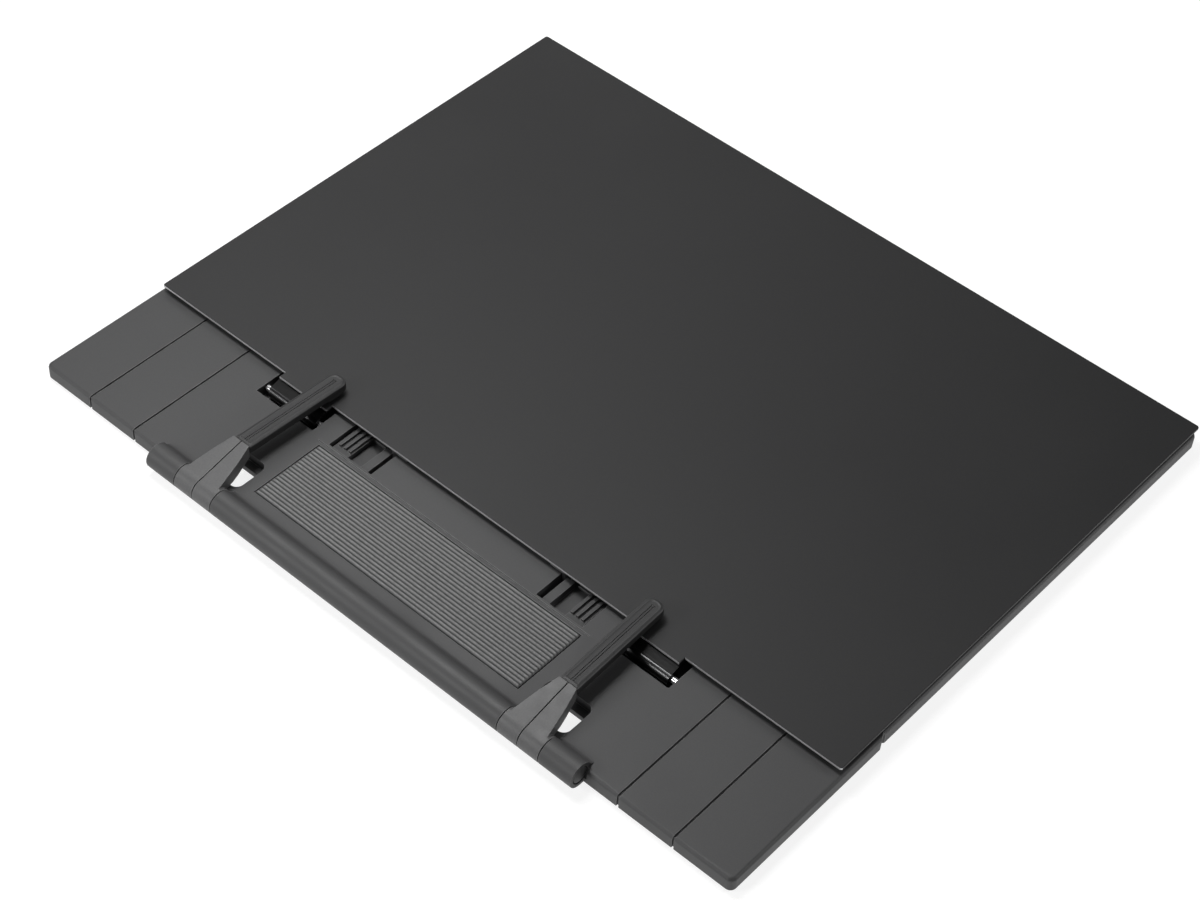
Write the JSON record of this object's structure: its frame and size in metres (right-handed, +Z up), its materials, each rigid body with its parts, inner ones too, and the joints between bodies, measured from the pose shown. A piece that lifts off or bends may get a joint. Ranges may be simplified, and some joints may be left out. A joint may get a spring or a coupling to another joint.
{
  "type": "laptop cooling pad",
  "caption": "Flat-folding laptop riser with a tilting metal plate on a ribbed plastic base, front stop arms, plate locks and a folding prop.",
  "frame": {"origin": "centre of the bounding box's footprint, on the surface that the rubber feet rest on", "axes": "+X along the width, +Y from the user to the back, +Z up"},
  "size_m": [0.3222, 0.273, 0.0156],
  "materials": {
    "plate": "satin",
    "moulding": "matte",
    "arm_shell": "matte",
    "dark_plastic": "matte",
    "rubber": "matte",
    "steel": "satin",
    "blackened_steel": "gloss"
  },
  "bodies": {
    "base": {"base_front": "moulding", "base_rear": "moulding", "grip_pad": "rubber", "left_barrel_end_cap": "moulding", "right_barrel_end_cap": "moulding", "left_arm_axle": "steel", "right_arm_axle": "steel", "left_hinge_pin": "steel", "right_hinge_pin": "steel", "left_rack": "dark_plastic", "right_rack": "dark_plastic", "left_foot_1": "rubber", "right_foot_1": "rubber", "left_foot_2": "rubber", "right_foot_2": "rubber", "left_foot_3": "rubber", "right_foot_3": "rubber", "left_plate_bumper_1": "rubber", "right_plate_bumper_1": "rubber", "left_plate_bumper_2": "rubber", "right_plate_bumper_2": "rubber", "left_screw_1": "steel", "right_screw_1": "steel", "left_screw_2": "steel", "right_screw_2": "steel"},
    "plate": {"top_plate": "plate", "left_hinge_leaf": "blackened_steel", "right_hinge_leaf": "blackened_steel", "left_plate_catch": "steel", "right_plate_catch": "steel", "left_prop_bracket": "steel", "right_prop_bracket": "steel"},
    "prop": {"prop_frame": "dark_plastic", "prop_foot_bar": "steel", "left_prop_pin": "steel", "right_prop_pin": "steel", "left_prop_sleeve": "rubber", "right_prop_sleeve": "rubber"},
    "left_arm": {"left_arm_shell_inner": "arm_shell", "left_arm_shell_outer": "arm_shell", "left_arm_bar": "dark_plastic", "left_arm_bumper": "rubber"},
    "right_arm": {"right_arm_shell_inner": "arm_shell", "right_arm_shell_outer": "arm_shell", "right_arm_bar": "dark_plastic", "right_arm_bumper": "rubber"},
    "left_lock": {"left_lock_slider": "moulding"},
    "right_lock": {"right_lock_slider": "moulding"}
  },
  "joints": [
    {"name": "plate_tilt", "type": "hinge", "parent": "base", "child": "plate", "pos_m": [0, -0.0808, 0.0045], "axis": [1, 0, 0], "range_deg": [0, 50]},
    {"name": "prop_swing", "type": "hinge", "parent": "plate", "child": "prop", "pos_m": [0, 0.0142, 0.0045], "axis": [-1, 0, 0], "range_deg": [0, 100]},
    {"name": "left_arm_swing", "type": "hinge", "parent": "base", "child": "left_arm", "pos_m": [-0.0766, -0.1315, 0.006], "axis": [1, 0, 0], "range_deg": [0, 100]},
    {"name": "right_arm_swing", "type": "hinge", "parent": "base", "child": "right_arm", "pos_m": [0.0766, -0.1315, 0.006], "axis": [1, 0, 0], "range_deg": [0, 100]},
    {"name": "left_lock_slide", "type": "slide", "parent": "base", "child": "left_lock", "axis": [1, 0, 0], "range_m": [0, 0.0063]},
    {"name": "right_lock_slide", "type": "slide", "parent": "base", "child": "right_lock", "axis": [-1, 0, 0], "range_m": [0, 0.0063]}
  ],
  "couplings": [
    {"joint": "prop_swing", "follows": "plate_tilt", "ratio": 2},
    {"joint": "left_arm_swing", "follows": "plate_tilt", "ratio": 2},
    {"joint": "right_arm_swing", "follows": "plate_tilt", "ratio": 2}
  ]
}
